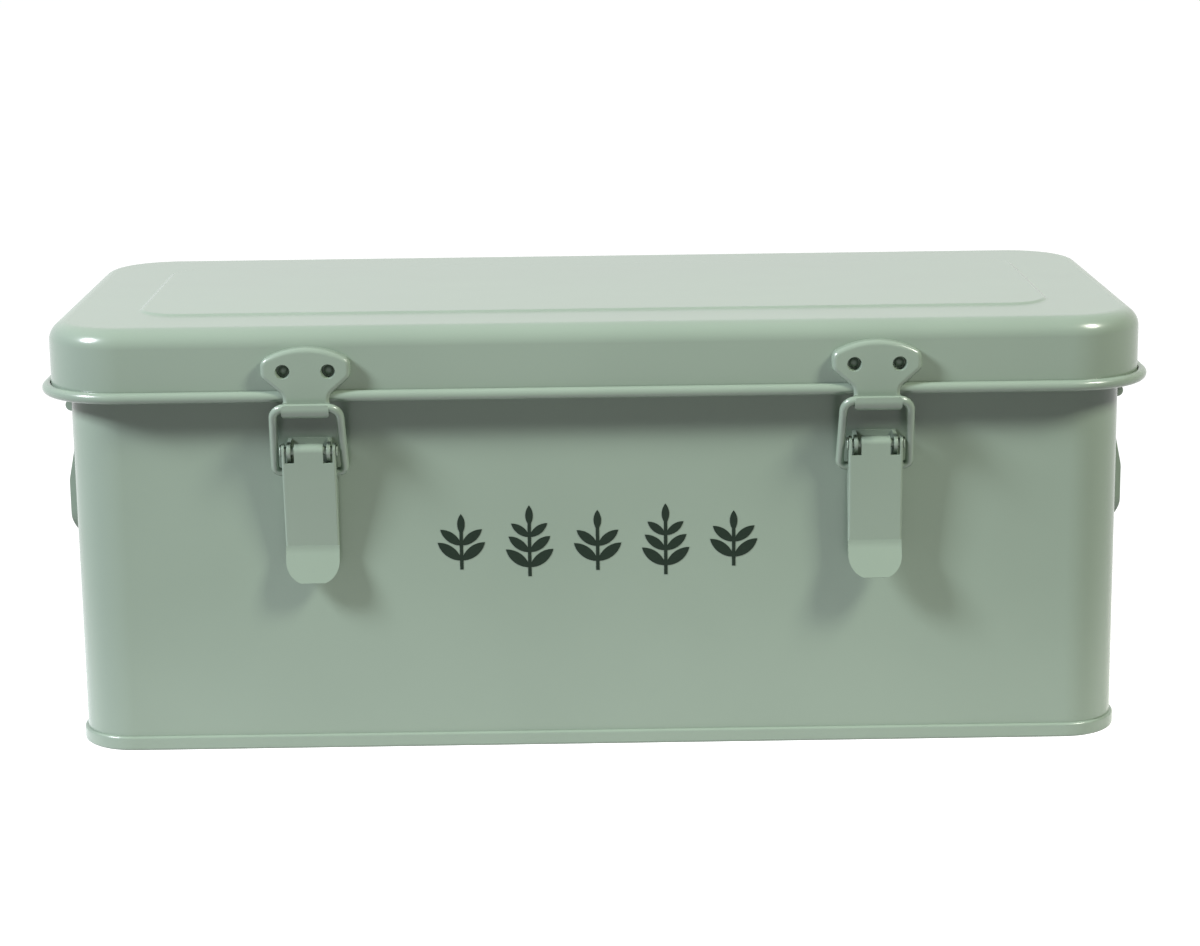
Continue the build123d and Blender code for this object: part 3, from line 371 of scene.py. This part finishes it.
def add_block(bm, low_corner, high_corner):
    """A rectangular block with its corners in the box's millimetres."""
    size = Vector(high_corner) - Vector(low_corner)
    centre = (Vector(high_corner) + Vector(low_corner)) / 2
    place = Matrix.Translation(mm(*centre)) @ Matrix.Diagonal((*(size / 1000), 1))
    bmesh.ops.create_cube(bm, size=1, matrix=place)


def make_body_wall():
    """The wrapped wall with its curled rim and the flat lock seam up its back."""
    rim_z = BODY_HEIGHT - RIM_RADIUS
    tail = 180 + CURL_OPENING - 360
    section = [(0, PAN_FOLD), (0, WALL_EASE), (0, rim_z - WALL_EASE)]
    section += arc(RIM_OUT, rim_z, RIM_RADIUS - SHEET, 180, tail)
    section += arc(RIM_OUT, rim_z, RIM_RADIUS, tail, 180)
    section += [(-SHEET, rim_z - WALL_EASE), (-SHEET, WALL_EASE), (-SHEET, PAN_FOLD)]
    bm = bmesh.new()
    skin(bm, carried_round(section, BODY_WIDTH, BODY_DEPTH, BODY_CORNER), closed=True)
    half = SEAM_WIDTH / 2
    add_block(
        bm,
        (-half, WALL_OUT - SEAM_SINK, PAN_BEAD_HEIGHT),
        (half, WALL_OUT + SEAM_THICKNESS, rim_z - RIM_RADIUS),
    )
    return softened(mesh_piece("enamelled_body_wall", bm, enamel), edge=0.25)


def make_base_pan():
    """The floor and the bead where its edge is folded round the foot of the wall."""
    reach, top = PAN_BEAD_REACH, PAN_BEAD_HEIGHT
    section = [(-SHEET, FLOOR_TOP), (-SHEET, PAN_FOLD), (0, PAN_FOLD), (0, top)]
    section += arc(reach - PAN_HIGH_ROUND, top - PAN_HIGH_ROUND, PAN_HIGH_ROUND, 90, 0)
    section += arc(reach - PAN_LOW_ROUND, PAN_LOW_ROUND, PAN_LOW_ROUND, 0, -90)
    section += [(-2 * SHEET, 0), (-2 * SHEET, FLOOR_TOP - SHEET)]
    bm = bmesh.new()
    skin(bm, carried_round(section, BODY_WIDTH, BODY_DEPTH, BODY_CORNER), closed=False)
    return softened(mesh_piece("enamelled_base_pan", bm, enamel))


rides(make_lid(), "lid_body", ["lid"])
wall_nodes = [f"{side}_body_{part}" for side in ("left", "right") for part in ("wall", "rim")]
rides(make_body_wall(), "box_body", wall_nodes)
rides(make_base_pan(), "box_body", ["base_pan"])


# ---- the wire loops ----
def bent_line(points, bends):
    """Points along a line whose inner corners are rounded by the bends in turn."""
    line = [points[0]]
    for before, corner, after, bend in zip(points, points[1:], points[2:], bends):
        to_before = (before - corner).normalized()
        to_after = (after - corner).normalized()
        half = to_before.angle(to_after) / 2
        centre = corner + (to_before + to_after).normalized() * bend / math.sin(half)
        start = corner + to_before * bend / math.tan(half) - centre
        end = corner + to_after * bend / math.tan(half) - centre
        for i in range(BEND_STEPS + 1):
            outwards = start.normalized().slerp(end.normalized(), i / BEND_STEPS)
            line.append(centre + bend * outwards)
    line.append(points[-1])
    return line


def make_loop(side):
    """A bent wire loop, its bar in the hook and its feet in the lever's cheeks."""
    out, z = LOOP_FEET[side]
    foot = mm(LATCH_X[side], -out, z)
    bar = mm(LATCH_X[side], -BAR[0], BAR[1])
    sideways = Vector((1, 0, 0))
    half = [(foot, LOOP_FOOT_END), (foot, LOOP_FOOT_HALF), (bar, LOOP_TOP_HALF)]
    corners = [middle - sideways * reach / 1000 for middle, reach in half]
    corners += [middle + sideways * reach / 1000 for middle, reach in reversed(half)]
    bends = [b / 1000 for b in (LOOP_FOOT_BEND, LOOP_TOP_BEND, LOOP_TOP_BEND, LOOP_FOOT_BEND)]
    line = bent_line(corners, bends)
    square = sideways.cross(bar - foot).normalized()
    radius = WIRE_RADIUS / 1000
    turns = [math.radians(360 * k / WIRE_SIDES) for k in range(WIRE_SIDES)]
    rings = []
    for i, point in enumerate(line):
        along = (line[min(i + 1, len(line) - 1)] - line[max(i - 1, 0)]).normalized()
        other = along.cross(square)
        rings.append([point + radius * (math.cos(a) * square + math.sin(a) * other) for a in turns])
    bm = bmesh.new()
    skin(bm, rings, closed=False)
    return softened(mesh_piece(f"enamelled_{side}_loop", bm, enamel))


for side in LATCH_X:
    rides(make_loop(side), f"{side}_loop_body", [f"{side}_loop"])


# ---- rivets ----
def turned(name, section):
    """A body of revolution about Z from (radius, height) points that start and end on the axis."""
    turns = [math.tau * k / RIVET_SIDES for k in range(RIVET_SIDES)]
    bm = bmesh.new()
    rows = []
    for radius, height in section[1:-1]:
        points = [Vector((radius * math.cos(a), radius * math.sin(a), height)) for a in turns]
        rows.append([bm.verts.new(point / 1000) for point in points])
    for one, other in zip(rows, rows[1:]):
        for i in range(RIVET_SIDES):
            j = (i + 1) % RIVET_SIDES
            bm.faces.new((one[i], one[j], other[j], other[i]))
    for row, (_, height) in ((rows[0], section[0]), (rows[-1], section[-1])):
        pole = bm.verts.new((0, 0, height / 1000))
        for i in range(RIVET_SIDES):
            bm.faces.new((row[i], row[(i + 1) % RIVET_SIDES], pole))
    return softened(mesh_piece(name, bm, enamel))


def make_rivet_row_tree():
    """A node tree that sets a rivet on each point, turned along the point's own direction."""
    tree = bpy.data.node_groups.new("rivet_row", "GeometryNodeTree")
    for name, way, kind in (
        ("Places", "INPUT", "Geometry"),
        ("Rivet", "INPUT", "Object"),
        ("Paint", "INPUT", "Material"),
        ("Rivets", "OUTPUT", "Geometry"),
    ):
        tree.interface.new_socket(name, in_out=way, socket_type=f"NodeSocket{kind}")
    inputs = add_node(tree, "NodeGroupInput")
    head = add_node(tree, "GeometryNodeObjectInfo", Object=(inputs, "Rivet"))
    facing = add_node(
        tree, "GeometryNodeInputNamedAttribute", {"data_type": "FLOAT_VECTOR", "Name": "facing"}
    )
    turn = add_node(tree, "FunctionNodeAlignRotationToVector", {"axis": "Z"}, Vector=(facing, 0))
    spread = add_node(
        tree,
        "GeometryNodeInstanceOnPoints",
        Points=(inputs, "Places"),
        Instance=(head, "Geometry"),
        Rotation=(turn, 0),
    )
    real = add_node(tree, "GeometryNodeRealizeInstances", Geometry=(spread, 0))
    painted = add_node(
        tree, "GeometryNodeSetMaterial", Geometry=(real, 0), Material=(inputs, "Paint")
    )
    add_node(tree, "NodeGroupOutput", Rivets=(painted, 0))
    return tree


def set_rivets(name, head, body, places):
    """One piece for all the rivets of a node. Places are (point, direction) in millimetres."""
    mesh = bpy.data.meshes.new(name)
    mesh.from_pydata([mm(*point) for point, _ in places], [], [])
    facing = mesh.attributes.new("facing", "FLOAT_VECTOR", "POINT")
    for i, (_, direction) in enumerate(places):
        facing.data[i].vector = direction
    piece = bpy.data.objects.new(f"enamelled_{name}", mesh)
    bpy.context.scene.collection.objects.link(piece)
    modifier = piece.modifiers.new("rivets", "NODES")
    modifier.node_group = rivet_tree
    sockets = {item.name: item.identifier for item in rivet_tree.interface.items_tree}
    modifier[sockets["Rivet"]] = head
    modifier[sockets["Paint"]] = enamel
    plain_mesh(piece)
    return rides(piece, body, [name])


def dome(radius, height):
    """The section of a domed head, from its top down to its rim."""
    sphere = (radius**2 + height**2) / (2 * height)
    widest = math.asin(radius / sphere)
    turns = [widest * i / DOME_STEPS for i in range(DOME_STEPS + 1)]
    return [(sphere * math.sin(a), height - sphere + sphere * math.cos(a)) for a in turns]


def make_rivet(name, size, grip):
    """A rivet whose domed head sits at the origin and whose tail is a grip behind it."""
    shank, tail, bevel = SHANK_RADIUS * size, TAIL_RADIUS * size, TAIL_ROUND * size
    end = grip + TAIL_HEIGHT * size
    section = dome(HEAD_RADIUS * size, HEAD_HEIGHT * size)
    section += [(shank, 0), (shank, -grip), (tail, -grip)]
    section += [(tail, bevel - end), (tail - bevel, -end), (0, -end)]
    return turned(name, section)


domed_head = make_rivet("domed_rivet", 1.0, GRIP)
small_head = make_rivet("small_rivet", SMALL_RIVET, SMALL_GRIP)
rivet_tree = make_rivet_row_tree()
FRONT, BACK = (0, -1, 0), (0, 1, 0)
SIDES = (-1, 1)
striker_out, striker_z = SKIRT_OUT + STRIKER_SHEET, LID_TOP - STRIKER_RIVET_DROP
set_rivets(
    "striker_rivets",
    small_head,
    "lid_body",
    [
        ((x + side * STRIKER_RIVET_SIDE, -striker_out, striker_z), FRONT)
        for x in LATCH_X.values()
        for side in SIDES
    ],
)
set_rivets(
    "latch_base_rivets",
    domed_head,
    "box_body",
    [
        ((x, -WALL_OUT - BASE_SHEET, LEVER_PIN_Z - drop), FRONT)
        for x in LATCH_X.values()
        for drop in BASE_RIVET_DROPS
    ],
)
for name, body, out, z in (
    ("lid_hinge_rivets", "lid_body", SKIRT_OUT, LID_TOP - LID_LEAF_RIVET_DROP),
    ("body_hinge_rivets", "box_body", WALL_OUT, HINGE_Z - BODY_LEAF_RIVET_DROP),
):
    set_rivets(
        name,
        domed_head,
        body,
        [
            ((hinge * HINGE_X + side * LEAF_RIVET_SIDE, out + LEAF_SHEET, z), BACK)
            for hinge in SIDES
            for side in SIDES
        ],
    )
bracket_out = BODY_WIDTH / 2 + BRACKET_SHEET
set_rivets(
    "handle_rivets",
    domed_head,
    "box_body",
    [
        ((end * bracket_out, side * BRACKET_RIVET_SIDE, BRACKET_RIVET_Z), (end, 0, 0))
        for end in SIDES
        for side in SIDES
    ],
)
for head in (domed_head, small_head):
    bpy.data.objects.remove(head)


# ---- the pressed fittings: the CAD shape with its edges rounded as paint rounds them ----
MERGE_WITHIN = 2e-6  # metres
FLAT_WITHIN = 0.6  # degrees between faces that become one
PAINTED, PLATED = (enamel, "painted_steel"), (zinc, "plated_steel")
PRINTED = (ink, "print_ink")


def finished_fitting(node, body, edge, finish):
    """A merged copy of a CAD node in its place, with edges rounded by so many millimetres."""
    material, slot = finish
    bm = bmesh.new()
    bm.from_mesh(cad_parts[node].data)
    bmesh.ops.remove_doubles(bm, verts=bm.verts, dist=MERGE_WITHIN)
    flat = math.radians(FLAT_WITHIN)
    bmesh.ops.dissolve_limit(bm, angle_limit=flat, verts=bm.verts, edges=bm.edges)
    piece = softened(mesh_piece(f"finished_{node}", bm, material), edge, FITTING_SHARP)
    return rides(piece, body, [node])


for side in LATCH_X:
    for part, body, edge, finish in (
        ("striker_plate", "lid_body", 0.22, PAINTED),
        ("lever", f"{side}_lever_body", 0.22, PAINTED),
        ("latch_base", "box_body", 0.2, PAINTED),
        ("lever_pin", "box_body", 0.0, PAINTED),
        ("hinge_lid_leaf", "lid_body", 0.2, PAINTED),
        ("hinge_body_leaf", "box_body", 0.2, PAINTED),
        ("hinge_pin", "box_body", 0.0, PLATED),
        ("handle_bracket", "box_body", 0.2, PAINTED),
        ("handle", f"{side}_handle_body", 0.25, PAINTED),
    ):
        finished_fitting(f"{side}_{part}", body, edge, finish)
for divider in ("divider_1", "divider_2"):
    finished_fitting(divider, "box_body", 0.15, PAINTED)
finished_fitting("front_print", "box_body", 0.0, PRINTED)


# ---- the studio ----
FLOOR_SIZE = 6  # metres
CARD_SPAN = (0.27, 0.19)  # half the length and depth, in metres, of the part nearest the box
CARD_NEAR, CARD_FAR = (0.56, 0.56, 0.56, 1), (0.15, 0.15, 0.15, 1)
ROOM, ROOM_STRENGTH = (0.94, 1.0, 0.98, 1), 0.02
KEY_AIM, KEY_SIZE = (0, -70, 90), (340, 420)


def seen_rays(tree):
    """A node that is 1 for what the camera sees, straight or in a shine or through glass."""
    rays = add_node(tree, "ShaderNodeLightPath")
    straight_or_shine = add_node(
        tree,
        "ShaderNodeMath",
        {"operation": "MAXIMUM"},
        i0=(rays, "Is Camera Ray"),
        i1=(rays, "Is Glossy Ray"),
    )
    return add_node(
        tree,
        "ShaderNodeMath",
        {"operation": "MAXIMUM"},
        i0=(straight_or_shine, 0),
        i1=(rays, "Is Transmission Ray"),
    )


def make_floor():
    """A table that looks white: it bounces light like grey card by the box, less further off."""
    material, tree = new_material("white_table")
    place = add_node(tree, "ShaderNodeTexCoord")
    span = add_node(
        tree,
        "ShaderNodeMapping",
        {"Scale": (1 / CARD_SPAN[0], 1 / CARD_SPAN[1], 1.0)},
        Vector=(place, "Object"),
    )
    away = add_node(tree, "ShaderNodeVectorMath", {"operation": "LENGTH"}, i0=(span, 0))
    # The card fades from 0.8 to 1.5 times its span.
    fall = add_node(
        tree, "ShaderNodeMapRange", {"From Min": 0.8, "From Max": 1.5}, Value=(away, "Value")
    )
    near_far = add_node(tree, "ShaderNodeValToRGB", Fac=(fall, 0))
    near_far.color_ramp.elements[0].color = CARD_NEAR
    near_far.color_ramp.elements[1].color = CARD_FAR
    card = add_node(tree, "ShaderNodeBsdfDiffuse", Color=(near_far, 0))
    glow = add_node(tree, "ShaderNodeEmission", Strength=(seen_rays(tree), 0))
    both = add_node(tree, "ShaderNodeAddShader", i0=(card, 0), i1=(glow, 0))
    add_node(tree, "ShaderNodeOutputMaterial", Surface=(both, 0))
    bm = bmesh.new()
    bmesh.ops.create_grid(bm, x_segments=1, y_segments=1, size=FLOOR_SIZE)
    floor = mesh_piece("table_top", bm, material)


def make_surroundings():
    """A dim room that the camera and every shine see as white."""
    world = bpy.data.worlds.new("studio")
    bpy.context.scene.world = world
    world.use_nodes = True
    tree = world.node_tree
    tree.nodes.clear()
    room = add_node(tree, "ShaderNodeBackground", {"Color": ROOM, "Strength": ROOM_STRENGTH})
    white = add_node(tree, "ShaderNodeBackground", {"Color": (1, 1, 1, 1), "Strength": 1.0})
    chosen = add_node(
        tree, "ShaderNodeMixShader", i0=(seen_rays(tree), 0), i1=(room, 0), i2=(white, 0)
    )
    add_node(tree, "ShaderNodeOutputWorld", Surface=(chosen, 0))


def add_softbox(name, place, aim, size, watts, tint, mirrored=True):
    """An area lamp of a linear tint at a place in millimetres, pointed at another.

    Its size is (width, height). One that isn't mirrored lights the box but shows no image of
    itself in the shine.
    """
    light = bpy.data.lights.new(name, "AREA")
    light.shape = "RECTANGLE"
    light.size = size[0] / 1000
    light.size_y = size[1] / 1000
    light.energy = watts
    light.color = tint
    lamp = bpy.data.objects.new(name, light)
    lamp.visible_glossy = mirrored
    lamp.location = mm(*place)
    lamp.rotation_mode = "QUATERNION"
    lamp.rotation_quaternion = (mm(*aim) - mm(*place)).to_track_quat("-Z", "Y")
    bpy.context.scene.collection.objects.link(lamp)


make_floor()
make_surroundings()
add_softbox("softbox_left", (-1264, -646, 1070), KEY_AIM, KEY_SIZE, 48.5, (0.9, 0.9, 1.0))
add_softbox("softbox_right", (1046, -749, 1245), KEY_AIM, KEY_SIZE, 28.5, (1.0, 0.98, 0.87))
add_softbox(
    "softbox_behind", (0, 500, 1500), (0, 0, 137), (1600, 500), 3, (0.93, 0.95, 1.0), mirrored=False
)
